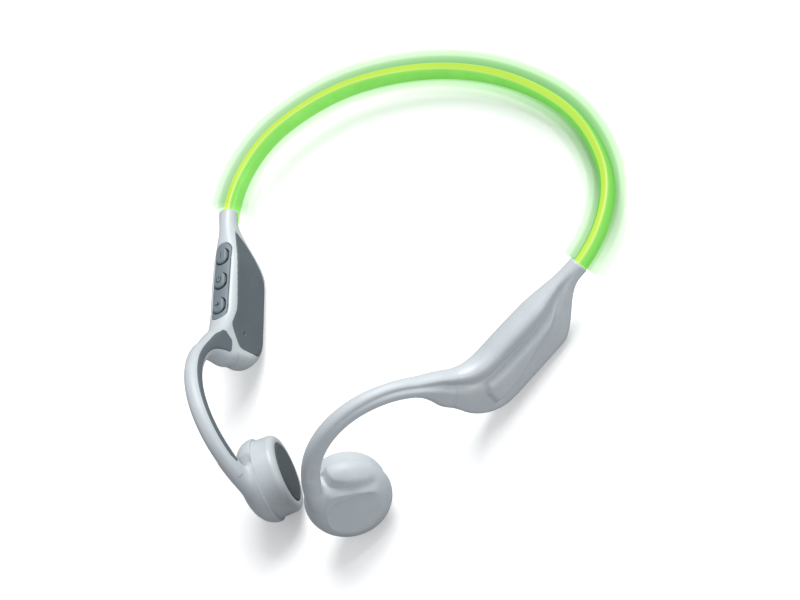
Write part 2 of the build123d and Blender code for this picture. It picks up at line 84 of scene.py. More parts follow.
POD_FORWARD = 50.3
POD_DROP = 5.7
POD_INWARD = 1.7
POD_TILT = 14.0
POD_RADIUS = 12.2
POD_CAP_DEPTH = 6.6
BARREL_RADIUS = 11.3
BARREL_DEPTH = 6.2
PAD_RADIUS = 8.6
PAD_PROUD = 0.4

PANEL_LENGTH = 26.5
PANEL_WIDTH = 5.2
BUTTON_PITCH = 8.5
BUTTON_LENGTH = 5.3
BUTTON_WIDTH = 3.8
BUTTON_PROUD = 0.9
BUTTON_CLEARANCE = 0.2
MIDDLE_BUTTON_FORWARD = 25.4
BUTTON_INWARD = 0.7
MIC_PLACE = (41.5, -3.3)
MIC_HOLE = 0.5                  # radius
CONTACT_PLACE = (27.0, -5.5)
CONTACT_PITCH = 5.0
CONTACT_RADIUS = 0.9

ROWS = (132, 120, 170)          # sections along the even housing, the heel and the hook
ROUND_INNER = 2.9               # depth of the rounded edges on the side towards the head
ROUND_OUTER = 2.6
SQUARENESS = 2.2                # power of the superellipse that rounds the arm's edges


# ---- Frames
def ease(t):
    """Smooth step: 0 up to 0, 1 from 1, level at both ends."""
    t = np.clip(t, 0.0, 1.0)
    return t * t * (3 - 2 * t)


def walk(start, heading, runs, s):
    """Points and headings at distances s along a line of straight runs and tangent arcs that turn clockwise.
    A run is (None, length) or (radius, turn): x = r (sin h - sin(h - s/r)), y = r (cos(h - s/r) - cos h)."""
    x = np.full(s.shape, float(start[0]))
    y = np.full(s.shape, float(start[1]))
    angle = np.full(s.shape, radians(heading))
    px, py, h, begun = float(start[0]), float(start[1]), radians(heading), 0.0
    for radius, size in runs:
        local = s - begun
        here = local >= 0
        if radius is None:
            length = size
            x = np.where(here, px + local * cos(h), x)
            y = np.where(here, py + local * sin(h), y)
            angle = np.where(here, h, angle)
            px, py = px + length * cos(h), py + length * sin(h)
        else:
            length = radius * radians(size)
            turned = h - local / radius
            x = np.where(here, px + radius * (sin(h) - np.sin(turned)), x)
            y = np.where(here, py + radius * (np.cos(turned) - cos(h)), y)
            angle = np.where(here, turned, angle)
            end = h - radians(size)
            px, py = px + radius * (sin(h) - sin(end)), py + radius * (cos(end) - cos(h))
            h = end
        begun += length
    return x, y, angle


def runs_length(runs):
    return sum(size if radius is None else radius * radians(size) for radius, size in runs)


BAND_RUNS = [*BAND_ARCS, (None, BAND_INSERT)]
BAND_LENGTH = runs_length(BAND_ARCS)
HOOK_RUNS = [(None, HOOK_RISE), *HOOK_ARCS]
HOOK_LENGTH = runs_length(HOOK_RUNS)
_end = walk((0, 0), 0.0, BAND_RUNS, np.array([BAND_LENGTH]))
ARM_ORIGIN = np.array([_end[0][0], _end[1][0]])


def lay(points):
    """Worn frame in millimetres to the lying frame in metres: turned REST_TILT about X, moved back and up."""
    c, s = cos(radians(REST_TILT)), sin(radians(REST_TILT))
    x, y, z = points[..., 0], points[..., 1], points[..., 2]
    return np.stack([x, y * c + z * s + REST_BACK, z * c - y * s + REST_LIFT], -1) * MM


def arm_place(u, y, q):
    """Arm frame to worn frame: u runs forward along the arm, y is up and q is towards the head. The upright
    sheet that holds the arm turns HOOK_TOE_IN degrees on an arc centred on the hook's root."""
    u, y, q = np.broadcast_arrays(u, y, q)
    half = radians(HOOK_TOE_IN) / 2
    radius = BEND_REACH / tan(half)
    bend_start = HOOK_FORWARD - BEND_REACH
    arc = 2 * radius * half
    first = radians(ARM_TOE_IN)
    straight = np.minimum(u, bend_start)
    turned = first + np.clip(u - bend_start, 0, arc) / radius
    after = np.maximum(u - bend_start - arc, 0)
    x = ARM_ORIGIN[0] - straight * sin(first) + radius * (np.cos(turned) - cos(first)) - after * np.sin(turned)
    back = ARM_ORIGIN[1] - straight * cos(first) - radius * (np.sin(turned) - sin(first)) - after * np.cos(turned)
    return np.stack([x - q * np.cos(turned), back + q * np.sin(turned), y], -1)


def pod_place(x, y, z):
    """Pod frame to worn frame: z is towards the skin, and the disc looks POD_TILT degrees down."""
    c, s = cos(radians(POD_TILT)), sin(radians(POD_TILT))
    u = HOOK_FORWARD + POD_FORWARD + x
    return arm_place(u, y * c - z * s - POD_DROP, y * s + z * c + POD_INWARD)


def rest(points, side):
    """Places worn points of the wearer's left side, or their mirror image for the right, in the lying frame."""
    return lay(points * np.array([1.0 if side == "left" else -1.0, 1.0, 1.0]))


# ---- Meshes
def signed_volume(points, faces):
    a, b, c, d = (points[faces[:, k]] for k in range(4))
    first = np.einsum("ij,ij->i", a, np.cross(b, c)).sum()
    return first + np.einsum("ij,ij->i", a, np.cross(c, d)).sum()


def grid_faces(rows, columns, loop=False):
    """Quads of a rows x columns grid, the last column joined to the first one, and the last row too if it loops."""
    i = np.arange(rows if loop else rows - 1)[:, None]
    j = np.arange(columns)[None, :]
    k, following = (j + 1) % columns, (i + 1) % rows
    quads = [i * columns + j, i * columns + k, following * columns + k, following * columns + j]
    return np.stack(quads, -1).reshape(-1, 4)


def cap_faces(ring, centre):
    """Triangles from a ring of vertices to a centre vertex, written as quads with a repeated corner."""
    following = np.roll(ring, -1)
    return np.stack([ring, following, np.full(ring.shape, centre), np.full(ring.shape, centre)], -1)


def make_piece(name, shape, material, *, loop=False, body="headset", marks=None, stands_for=()):
    """A mesh from a grid of points in metres (rows, columns, 3). Its columns close into rings, and its first
    and last ring are joined if it loops, or closed with fans, so that the piece is a solid skin. marks are
    values on the grid."""
    rows, columns = shape.shape[:2]
    points = shape.reshape(-1, 3)
    faces = grid_faces(rows, columns, loop)
    if not loop:
        first = np.arange(columns)
        last = first + (rows - 1) * columns
        centres = np.array([points[first].mean(0), points[last].mean(0)])
        count = len(points)
        points = np.concatenate([points, centres])
        faces = np.concatenate([faces, cap_faces(first[::-1], count), cap_faces(last, count + 1)])
    if signed_volume(points, faces) < 0:
        faces = faces[:, ::-1]
    corners = [tuple(dict.fromkeys(face)) for face in faces.tolist()]
    mesh = bpy.data.meshes.new(name)
    mesh.from_pydata(points.tolist(), [], [f for f in corners if len(f) > 2])
    for label, values in (marks or {}).items():
        flat = np.zeros(len(points), np.float32)
        flat[: rows * columns] = np.broadcast_to(values, (rows, columns)).reshape(-1)
        layer = mesh.attributes.new(label, "FLOAT", "POINT")
        layer.data.foreach_set("value", flat)
    mesh.polygons.foreach_set("use_smooth", np.ones(len(mesh.polygons), bool))
    mesh.materials.append(material)
    mesh.update()
    piece = bpy.data.objects.new(name, mesh)
    bpy.context.scene.collection.objects.link(piece)
    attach(piece, body)
    if stands_for:
        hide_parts(*stands_for)
    return piece


def outline_distance(x, y, outline):
    """Signed distance from points to a closed outline (n, 2), negative inside it."""
    a = outline
    b = np.roll(outline, -1, 0)
    best = np.full(x.shape, 1e9)
    inside = np.zeros(x.shape, bool)
    for (ax, ay), (bx, by) in zip(a, b):
        ex, ey = bx - ax, by - ay
        t = np.clip(((x - ax) * ex + (y - ay) * ey) / max(ex * ex + ey * ey, 1e-12), 0, 1)
        best = np.minimum(best, np.hypot(x - ax - t * ex, y - ay - t * ey))
        crosses = (ay > y) != (by > y)
        if ey:
            inside ^= crosses & (x < ax + (y - ay) * ex / ey)
    return np.where(inside, -best, best)


def rounded_outline(corners, radii, step=0.35):
    """A closed outline through straight sides whose corners are rounded by quadratic curves. Each curve starts
    and ends at its own distance from the corner. The points are then spread evenly, step apart."""
    corners = np.array(corners, float)
    before = np.roll(corners, 1, 0)
    after = np.roll(corners, -1, 0)
    line = []
    for p, c, n, r in zip(before, corners, after, radii):
        a = c + (p - c) * min(0.5, r / np.linalg.norm(p - c))
        b = c + (n - c) * min(0.5, r / np.linalg.norm(n - c))
        t = np.linspace(0, 1, 24)[:, None]
        line.append(a * (1 - t) ** 2 + c * 2 * t * (1 - t) + b * t ** 2)
    line = np.concatenate(line)
    closed = np.concatenate([line, line[:1]])
    gone = np.concatenate([[0], np.cumsum(np.linalg.norm(np.diff(closed, axis=0), axis=1))])
    even = np.linspace(0, gone[-1], int(gone[-1] / step) + 1)[:-1]
    return np.stack([np.interp(even, gone, closed[:, k]) for k in (0, 1)], -1)


def obround_distance(x, y, length, width):
    """Signed distance to a slot shape centred on the origin, long along x."""
    reach = (length - width) / 2
    return np.hypot(np.maximum(np.abs(x) - reach, 0), y) - width / 2


# ---- The arm: one smooth skin from the neck through the housing and the heel into the ear hook. A section is a
# line between the upper and the lower edge of the side view, and swells outwards and inwards from it.
def housing_top(u):
    return NECK_SIZE / 2 + (HOUSING_TOP - NECK_SIZE / 2) * ease(u / (2 * FLARE_LENGTH))


def grown(u):
    return ease((u - NECK_LENGTH) / FLARE_LENGTH)


def housing_low(u):
    return -NECK_SIZE / 2 - (HOUSING_DEPTH - NECK_SIZE / 2) * grown(u)


def hook_size(share):
    return HOOK_SIZE + (SHOULDER_SIZE - HOOK_SIZE) * (1 - ease(share / SHOULDER_SHARE))


def hook_edge(share, side):
    """Upper (+1) or lower (-1) edge of the hook in the arm's sheet, at shares of the hook's length."""
    s, y, angle = walk(HOOK_START, HOOK_HEADING, HOOK_RUNS, share * HOOK_LENGTH)
    half = hook_size(share) / 2
    return np.stack([HOOK_FORWARD + s - side * half * np.sin(angle), y + side * half * np.cos(angle)], -1)


def curve(p0, p1, p2, p3, t):
    """Cubic curve from p0 to p3, leaving towards p1 and arriving from p2."""
    t = t[:, None]
    return (1 - t) ** 3 * p0 + 3 * t * (1 - t) ** 2 * p1 + 3 * t * t * (1 - t) * p2 + t ** 3 * p3


def evenly(line, count):
    gone = np.concatenate([[0], np.cumsum(np.linalg.norm(np.diff(line, axis=0), axis=1))])
    even = np.linspace(0, gone[-1], count)
    return np.stack([np.interp(even, gone, line[:, k]) for k in (0, 1)], -1)


def edge_direction(share, side):
    step = 1e-3
    pair = hook_edge(np.array([share - step, share + step]), side)
    return (pair[1] - pair[0]) / np.linalg.norm(pair[1] - pair[0])


def arm_edges():
    """Upper and lower edges of the side view, row by row, in three stages: the even housing, the heel, where the
    lower edge runs round an arc while the upper edge turns up into the hook, and the hook."""
    u = np.linspace(0, EVEN_LENGTH, ROWS[0] + 1)[:-1]
    upper = [np.stack([u, housing_top(u)], -1)]
    lower = [np.stack([u, housing_low(u)], -1)]
    t = np.linspace(0, 1, 200)
    top_end = hook_edge(np.array([BLEND_SHARE]), 1)[0]
    start = np.array([EVEN_LENGTH, float(housing_top(np.array(EVEN_LENGTH)))])
    top = curve(start, start + [6.5, 0.15], top_end - 4.2 * edge_direction(BLEND_SHARE, 1), top_end, t)
    upper.append(evenly(top, ROWS[1] + 1)[:-1])
    low_start = np.array([EVEN_LENGTH, -HOUSING_DEPTH])
    turn = t * radians(HEEL_TURN)
    heel = np.array([HEEL_START, -HOUSING_DEPTH]) + HEEL_ROUND * np.stack([np.sin(turn), 1 - np.cos(turn)], -1)
    low_end = hook_edge(np.array([BLEND_SHARE]), -1)[0]
    leaving = np.array([cos(radians(HEEL_TURN)), sin(radians(HEEL_TURN))])
    rise = curve(heel[-1], heel[-1] + 4.6 * leaving, low_end - 4.2 * edge_direction(BLEND_SHARE, -1), low_end, t)
    lower.append(evenly(np.concatenate([low_start[None], heel, rise[1:]]), ROWS[1] + 1)[:-1])
    share = np.linspace(BLEND_SHARE, 1.0, ROWS[2])
    upper.append(hook_edge(share, 1))
    lower.append(hook_edge(share, -1))
    return np.concatenate(upper), np.concatenate(lower)


UPPER, LOWER = arm_edges()
HEIGHT = np.linalg.norm(LOWER - UPPER, axis=1)
ROW = np.arange(len(UPPER), dtype=float)
HEEL_SHARE = np.clip((ROW - ROWS[0]) / ROWS[1], 0, 1)
HOOK_SHARE = np.clip((ROW - ROWS[0] - ROWS[1]) / (ROWS[2] - 1), 0, 1)
FOOT_ROW = ROWS[0] + int(0.80 * ROWS[1])


def widths():
    """Reach of each section away from the head and towards it: neck, housing, heel and hook."""
    flare = grown(UPPER[:, 0])
    heel = ease(HEEL_SHARE)
    thin = ease(HOOK_SHARE / 0.25)
    neck = NECK_SIZE / 2
    outer = neck + (HOUSING_OUTER - neck) * flare + 0.1 * heel * (1 - heel) - 0.55 * heel
    inner = neck + (HOUSING_INNER - neck) * flare - 1.8 * heel
    hook = HOOK_THICKNESS / 2
    return outer + (hook - outer) * thin, inner + (hook - inner) * thin


OUTER, INNER = widths()
VALLEY_DEPTH = 1.45
VALLEY_PLACE = 0.285            # share of the section's height at which the valley runs
LENS_RISE = 0.85                # of the raised lens between the valley and the crease
CREASE_DEPTH = 0.34
SCULPT_FADE = 2.4               # distance from the arm's edges over which the sculpting fades out


def swell(distance, rounding, power=SQUARENESS):
    """Superellipse quarter: 0 at the edge, rising upright to 1 at the rounding's depth."""
    x = 1 - np.clip(distance / rounding, 0, 1)
    return (1 - x ** power) ** (1 / power)


def rounding(row, most):
    """Depth of the rounded edge, at most half of the section's height."""
    half = np.interp(row, ROW, HEIGHT) / 2
    return (half ** -8.0 + most ** -8.0) ** (-1 / 8.0)


def sculpt(row, across):
    """Depth taken off the outer face: a valley that runs the length of the arm and fades along the hook, a
    second crease that leaves it at the neck, and between them a raised lens with a rounded end."""
    height = np.interp(row, ROW, HEIGHT)
    u = np.interp(row, ROW, UPPER[:, 0])
    along = row - ROWS[0]
    hook = np.clip((row - ROWS[0] - ROWS[1]) / ROWS[2], 0, 1)
    valley = VALLEY_PLACE - 0.03 * np.cos(u / 9.0)
    below = (across - valley) * height
    start = ease((u - 1.0) / 8.0)
    fade = 1 - 0.75 * ease((hook - 0.15) / 0.45)
    width = np.where(below < 0, 2.3, 1.15) * (0.35 + 0.65 * np.minimum(height / 14.0, 1.0))
    deep = VALLEY_DEPTH * start * fade * np.minimum(height / 9.0, 1.0) * np.exp(-np.abs(below / width) ** 1.7)
    crease = 0.30 + 0.0155 * np.maximum(u - 6.0, 0)
    under = (across - crease) * height
    lens_end = 1 - ease((along - 42.0 + 26.0 * np.abs(across - 0.5)) / 10.0)
    lens = LENS_RISE * ease(below / 1.6) * ease(-under / 1.3) * lens_end * ease((u - 7.0) / 8.0)
    groove = CREASE_DEPTH * np.exp(-(under / 0.55) ** 2) * ease((u - 7.0) / 6.0) * lens_end
    return deep + groove - lens


def skin(row, across, side):
    """Depth of the arm's skin at a row and a share across its section, on the side towards the head (+1) or
    away from it (-1)."""
    height = np.interp(row, ROW, HEIGHT)
    edge = np.minimum(across, 1 - across) * height
    inner = np.interp(row, ROW, INNER) * swell(edge, rounding(row, ROUND_INNER))
    outer = np.interp(row, ROW, OUTER) * swell(edge, rounding(row, ROUND_OUTER))
    outer = outer - sculpt(row, across) * swell(edge, SCULPT_FADE)
    return np.where(side > 0, inner, -outer)


def in_sheet(row, across):
    """Forward and up coordinates at a row and a share across."""
    upper = np.stack([np.interp(row, ROW, UPPER[:, k]) for k in (0, 1)], -1)
    lower = np.stack([np.interp(row, ROW, LOWER[:, k]) for k in (0, 1)], -1)
    point = upper + np.asarray(across)[..., None] * (lower - upper)
    return point[..., 0], point[..., 1]


def locate(u, y):
    """Row and share across of points in the arm's sheet: the row whose section line passes through the point,
    where the cross product with the line changes sign."""
    shape = np.shape(u)
    u, y = np.ravel(u), np.ravel(y)
    last = ROWS[0] + ROWS[1] + 60
    span = LOWER[:last] - UPPER[:last]
    cross = (u[:, None] - UPPER[:last, 0]) * span[:, 1] - (y[:, None] - UPPER[:last, 1]) * span[:, 0]
    change = (cross[:, :-1] * cross[:, 1:] <= 0).argmax(1)
    index = np.arange(len(u))
    a, b = cross[index, change], cross[index, change + 1]
    row = change + a / np.where(a == b, 1, a - b)
    upper = np.stack([np.interp(row, ROW, UPPER[:, k]) for k in (0, 1)], -1)
    lower = np.stack([np.interp(row, ROW, LOWER[:, k]) for k in (0, 1)], -1)
    line = lower - upper
    across = ((u - upper[:, 0]) * line[:, 0] + (y - upper[:, 1]) * line[:, 1]) / (line ** 2).sum(1)
    return row.reshape(shape), np.clip(across, 0, 1).reshape(shape)


def inner_face(u, y):
    row, across = locate(u, y)
    return skin(row, across, 1)


def top_face(u, q):
    """Height of the housing's rounded top over a forward place and a place towards the head."""
    row = np.interp(u, UPPER[:ROWS[0] + 60, 0], ROW[:ROWS[0] + 60])
    reach = np.where(q > 0, np.interp(row, ROW, INNER), np.interp(row, ROW, OUTER))
    most = np.where(q > 0, rounding(row, ROUND_INNER), rounding(row, ROUND_OUTER))
    x = 1 - (1 - np.clip(np.abs(q) / reach, 0, 0.999) ** SQUARENESS) ** (1 / SQUARENESS)
    return np.interp(row, ROW, UPPER[:, 1]) - x * most


# side view of the slate cover: from its tip at the neck, forward along the shelf, round the front, back along
# the belly
COVER_CORNERS = ((7.4, 0.3), (16.5, 1.2), (35.0, 0.5), (40.6, 2.1), (47.6, -1.3), (46.6, -11.0), (38.8, -12.3),
                 (20.0, -12.3), (10.9, -5.4))
COVER_ROUNDS = (0.9, 6.0, 2.5, 1.0, 1.2, 4.2, 2.0, 5.5, 4.5)
COVER_OUTLINE = rounded_outline(COVER_CORNERS, COVER_ROUNDS)
COVER_GAP = 0.16
COVER_RECESS = 0.7
PANEL_GAP = 0.15
PANEL_RECESS = 2.7
NECK_LIP = 0.45                 # length of the rounded rim at the neck
NECK_LIP_DROP = 0.13            # share by which the rim draws in
INLAY_PROUD = 0.14
INLAY_DEPTH = 0.7
INLAY_ROUND = 0.35
INLAY_END = 0.85                # share of the hook at which its inlay ends
HOOK_SKIN_END = 0.90            # share of the hook at which its skin ends, inside the pod's cap
INLAY_START = 0.75              # rows of the heel at which the hook's inlay begins


def arm_skin(first, last, side):
    """Rows of the arm's closed skin. Columns run round the section: down the inner side and up the outer one.
    The inner face is let in under the cover, and the right top under the button panel."""
    row = np.linspace(first, last, int(last - first) + 1)[:, None]
    turn = np.linspace(0, 2 * pi, 241)[None, :-1]
    across = (1 - np.cos(turn)) / 2 + 0 * row
    way = np.where(np.sin(turn) >= 0, 1.0, -1.0) + 0 * row
    row = row + 0 * turn
    u, y = in_sheet(row, across)
    q = skin(row, across, way)
    inside = outline_distance(u, y, COVER_OUTLINE) - COVER_GAP
    let_in = np.where((way > 0) & (u < 49), COVER_RECESS * ease(-inside / 0.12), 0.0)
    q = q - let_in
    if side == "right":
        slot = obround_distance(u - MIDDLE_BUTTON_FORWARD, q - BUTTON_INWARD, PANEL_LENGTH + 2 * PANEL_GAP,
                               PANEL_WIDTH + 2 * PANEL_GAP)
        y = y - np.where(across < 0.2, PANEL_RECESS * ease(-slot / 0.14), 0.0)
    shrink = np.clip(1 - u / NECK_LIP, 0, 1) if first == 0 else np.zeros_like(u)
    scale = 1 - NECK_LIP_DROP * (1 - np.sqrt(1 - shrink ** 2))
    return arm_place(u, y * scale, q * scale)


# ---- Procedural materials
def socket(group, name, kind, way, value=None):
    made = group.interface.new_socket(name=name, in_out=way, socket_type=kind)
    if value is not None:
        made.default_value = value
    return made


def add(tree, kind, links=(), **settings):
    """A node with its settings, and values or links for its inputs given as (input, value or socket)."""
    node = tree.nodes.new(kind)
    for key, value in settings.items():
        setattr(node, key, value)
    for key, value in links:
        if isinstance(value, bpy.types.NodeSocket):
            tree.links.new(value, node.inputs[key])
        else:
            node.inputs[key].default_value = value
    return node


def new_material(name):
    """A material with an empty node tree."""
    material = bpy.data.materials.new(name)
    material.use_nodes = True
    material.node_tree.nodes.clear()
    return material, material.node_tree


def moulded_group():
    """Colour, roughness and height of a moulded surface: slow mottling, a fine spark grain and rubbed patches."""
    group = bpy.data.node_groups.new("moulded_surface", "ShaderNodeTree")
    socket(group, "Place", "NodeSocketVector", "INPUT")
    socket(group, "Colour", "NodeSocketColor", "INPUT", (0.5, 0.5, 0.5, 1))
    socket(group, "Shade", "NodeSocketColor", "INPUT", (0.4, 0.4, 0.4, 1))
    socket(group, "Grain", "NodeSocketFloat", "INPUT", 2500.0)
    socket(group, "Rough", "NodeSocketFloat", "INPUT", 0.4)
    socket(group, "Rough spread", "NodeSocketFloat", "INPUT", 0.1)
    socket(group, "Colour", "NodeSocketColor", "OUTPUT")
    socket(group, "Roughness", "NodeSocketFloat", "OUTPUT")
    socket(group, "Height", "NodeSocketFloat", "OUTPUT")
    inside = add(group, "NodeGroupInput").outputs
    place = inside["Place"]
    slow = add(group, "ShaderNodeTexNoise", [("Vector", place), ("Scale", 70.0), ("Detail", 3.0)])
    patch = add(group, "ShaderNodeTexNoise", [("Vector", place), ("Scale", 260.0), ("Detail", 4.0),
                                              ("Roughness", 0.6)])
    fine = add(group, "ShaderNodeTexNoise", [("Vector", place), ("Scale", inside["Grain"]), ("Detail", 2.0)])
    spark = add(group, "ShaderNodeTexVoronoi", [("Vector", place), ("Scale", inside["Grain"])], feature="F1")
    blend = add(group, "ShaderNodeMath", [(0, slow.outputs["Fac"]), (1, patch.outputs["Fac"])], operation="MULTIPLY")
    spread = add(group, "ShaderNodeMapRange", [("Value", blend.outputs[0]), ("From Min", 0.12), ("From Max", 0.42)])
    tint = add(group, "ShaderNodeMix", data_type="RGBA")
    group.links.new(spread.outputs[0], tint.inputs["Factor"])
    group.links.new(inside["Shade"], tint.inputs[6])
    group.links.new(inside["Colour"], tint.inputs[7])
    centred = add(group, "ShaderNodeMath", [(0, patch.outputs["Fac"]), (1, 0.5)], operation="SUBTRACT")
    rough = add(group, "ShaderNodeMath", [(0, centred.outputs[0]), (1, inside["Rough spread"]), (2, inside["Rough"])],
                operation="MULTIPLY_ADD")
    height = add(group, "ShaderNodeMath", [(0, fine.outputs["Fac"]), (1, spark.outputs["Distance"])],
                 operation="ADD")
    out = add(group, "NodeGroupOutput")
    group.links.new(tint.outputs[2], out.inputs["Colour"])
    group.links.new(rough.outputs[0], out.inputs["Roughness"])
    group.links.new(height.outputs[0], out.inputs["Height"])
    return group


MOULDED = moulded_group()


def moulded(name, colour, shade, grain=2500.0, rough=0.4, spread=0.12, depth=0.004, strength=0.25, **sockets):
    """A moulded plastic or rubber: the moulded surface on object coordinates, with a bump of depth mm."""
    material, tree = new_material(name)
    place = add(tree, "ShaderNodeTexCoord").outputs["Object"]
    surface = add(tree, "ShaderNodeGroup", node_tree=MOULDED)
    tree.links.new(place, surface.inputs["Place"])
    surface.inputs["Colour"].default_value = (*colour, 1)
    surface.inputs["Shade"].default_value = (*shade, 1)
    surface.inputs["Grain"].default_value = grain
    surface.inputs["Rough"].default_value = rough
    surface.inputs["Rough spread"].default_value = spread
    bump = add(tree, "ShaderNodeBump", [("Height", surface.outputs["Height"]), ("Strength", strength),
                                        ("Distance", depth * MM)])
    finish = add(tree, "ShaderNodeBsdfPrincipled", [("Base Color", surface.outputs["Colour"]),
                                                    ("Roughness", surface.outputs["Roughness"]),
                                                    ("Normal", bump.outputs["Normal"])])
    for key, value in sockets.items():
        finish.inputs[key.replace("_", " ")].default_value = value
    add(tree, "ShaderNodeOutputMaterial", [("Surface", finish.outputs["BSDF"])])
    return material, tree, surface, finish


def darker_where(made, label, colour):
    """Mixes a colour into a moulded material where the piece's own mark is 1."""
    material, tree, surface, finish = made
    mark = add(tree, "ShaderNodeAttribute", attribute_name=label)
    mix = add(tree, "ShaderNodeMix", data_type="RGBA")
    tree.links.new(mark.outputs["Fac"], mix.inputs["Factor"])
    tree.links.new(surface.outputs["Colour"], mix.inputs[6])
    mix.inputs[7].default_value = (*colour, 1)
    tree.links.new(mix.outputs[2], finish.inputs["Base Color"])
    return material


GLOW_STRENGTH = 1.05


def glowing_guide():
    """Lit acrylic: yellow-green in its middle, a paler line inside each edge that is a painted highlight of the
    rounded guide, and a deeper green rim, with a slow unevenness along its length."""
    material, tree = new_material("lit_light_guide")
    across = add(tree, "ShaderNodeAttribute", attribute_name="across")
    ramp = add(tree, "ShaderNodeValToRGB", [("Fac", across.outputs["Fac"])])
    # the stop at 0.68, a paler line inside each edge, is a painted highlight of the rounded guide
    glow_and_highlight_stops = ((0.0, (0.84, 0.97, 0.14)), (0.50, (0.80, 0.96, 0.15)), (0.68, (0.95, 1.0, 0.42)),
             (0.82, (0.60, 0.92, 0.22)), (1.0, (0.36, 0.86, 0.19)))
    while len(ramp.color_ramp.elements) < len(glow_and_highlight_stops):
        ramp.color_ramp.elements.new(0.5)
    for element, (place, colour) in zip(ramp.color_ramp.elements, glow_and_highlight_stops):
        element.position = place
        element.color = (*colour, 1)
    place = add(tree, "ShaderNodeTexCoord").outputs["Object"]
    slow = add(tree, "ShaderNodeTexNoise", [("Vector", place), ("Scale", 45.0), ("Detail", 2.0)])
    level = add(tree, "ShaderNodeMapRange", [("Value", slow.outputs["Fac"]), ("To Min", 0.92), ("To Max", 1.06)])
    lit = add(tree, "ShaderNodeVectorMath", [(0, ramp.outputs["Color"])], operation="SCALE")
    tree.links.new(level.outputs[0], lit.inputs["Scale"])
    dark = add(tree, "ShaderNodeVectorMath", [(0, ramp.outputs["Color"]), ("Scale", 0.14)], operation="SCALE")
    finish = add(tree, "ShaderNodeBsdfPrincipled", [("Base Color", dark.outputs["Vector"]), ("Roughness", 0.22),
                                                    ("Emission Color", lit.outputs["Vector"]),
                                                    ("Emission Strength", GLOW_STRENGTH)])
    add(tree, "ShaderNodeOutputMaterial", [("Surface", finish.outputs["BSDF"])])
    return material


def painted_glow_sleeve():
    """Milky silicone with a painted glow, a green emission that stands in for the light of the guide beside it: an
    even green with slow lighter stretches.
    """
    material, tree, surface, finish = moulded("lit_band_silicone", (0.36, 0.85, 0.19), (0.30, 0.76, 0.16),
                                              grain=3400, rough=0.45)
    # painted glow: the sleeve emits the guide's green light though it is no lamp
    tree.links.new(surface.outputs["Colour"], finish.inputs["Emission Color"])
    finish.inputs["Emission Strength"].default_value = GLOW_STRENGTH
    dark = add(tree, "ShaderNodeVectorMath", [(0, surface.outputs["Colour"]), ("Scale", 0.14)], operation="SCALE")
    tree.links.new(dark.outputs["Vector"], finish.inputs["Base Color"])
    return material


SHELL = moulded("shell_satin_plastic", (0.565, 0.600, 0.625), (0.515, 0.550, 0.578), rough=0.36, spread=0.1,
                depth=0.006, Coat_Weight=0.12, Coat_Roughness=0.3)[0]
SILICONE = moulded("hook_silicone", (0.545, 0.583, 0.612), (0.50, 0.54, 0.57), grain=3400, rough=0.44, spread=0.12,
                   depth=0.005)[0]
SLATE = moulded("slate_cover_plastic", (0.108, 0.130, 0.148), (0.094, 0.114, 0.131), grain=3000, rough=0.5,
                spread=0.14, depth=0.01, strength=0.4)[0]
INLAY = moulded("slate_inlay_silicone", (0.112, 0.136, 0.155), (0.098, 0.120, 0.139), grain=3600, rough=0.52,
                spread=0.12, depth=0.006)[0]
PANEL = moulded("button_panel_rubber", (0.185, 0.225, 0.250), (0.165, 0.203, 0.228), grain=3200, rough=0.48,
                spread=0.12, depth=0.006)[0]
KEYS = darker_where(moulded("button_rubber", (0.180, 0.218, 0.245), (0.160, 0.197, 0.224), grain=3200, rough=0.45,
                            spread=0.12, depth=0.005), "mark", (0.020, 0.028, 0.036))
PAD = moulded("skin_pad_silicone", (0.078, 0.095, 0.108), (0.064, 0.080, 0.093), grain=2600, rough=0.6, spread=0.12,
              depth=0.010, strength=0.4)[0]
GUIDE = glowing_guide()
HOLE = moulded("hole_black_mesh", (0.012, 0.014, 0.017), (0.006, 0.007, 0.009), grain=5200, rough=0.7, depth=0.05)[0]
GOLD = moulded("gold_plate", (0.86, 0.62, 0.24), (0.74, 0.50, 0.17), grain=6000, rough=0.24, depth=0.002,
               Metallic=1.0)[0]

HIDDEN = {
    "silicone_grey": painted_glow_sleeve(),
    "shell_grey": SHELL,
    "slate_plastic": SLATE,
    "seal_rubber": moulded("seal_rubber_black", (0.03, 0.03, 0.033), (0.02, 0.02, 0.022), rough=0.65)[0],
    "spring_wire": moulded("spring_steel", (0.55, 0.56, 0.58), (0.42, 0.43, 0.45), rough=0.28, Metallic=1.0)[0],
    "cable_jacket": moulded("cable_jacket_black", (0.03, 0.03, 0.035), (0.02, 0.02, 0.024), rough=0.55)[0],
    "plated_steel": moulded("nickel_plate", (0.62, 0.61, 0.58), (0.5, 0.49, 0.46), rough=0.3, Metallic=1.0)[0],
    "copper_wire": moulded("enamelled_copper", (0.72, 0.34, 0.16), (0.55, 0.24, 0.1), rough=0.35, Metallic=1.0)[0],
    "magnet": moulded("magnet_nickel", (0.45, 0.45, 0.46), (0.36, 0.36, 0.37), rough=0.25, Metallic=1.0)[0],
    "battery_foil": moulded("battery_foil", (0.60, 0.61, 0.62), (0.45, 0.46, 0.48), grain=900, rough=0.4, depth=0.03,
                            Metallic=0.8)[0],
    "foam": moulded("battery_foam", (0.05, 0.05, 0.055), (0.03, 0.03, 0.034), grain=1500, rough=0.9, depth=0.08)[0],
    "gold_contact": GOLD,
    "circuit_board": moulded("solder_mask_green", (0.02, 0.16, 0.07), (0.012, 0.10, 0.045), rough=0.35)[0],
    "chip_black": moulded("chip_epoxy", (0.02, 0.02, 0.022), (0.014, 0.014, 0.016), rough=0.5)[0],
    "led_lens": moulded("led_lens", (0.75, 0.9, 0.55), (0.6, 0.8, 0.4), rough=0.2)[0],
    "button_slate": PANEL,
    "slate_silicone": PAD,
    "light_guide": GUIDE,
}


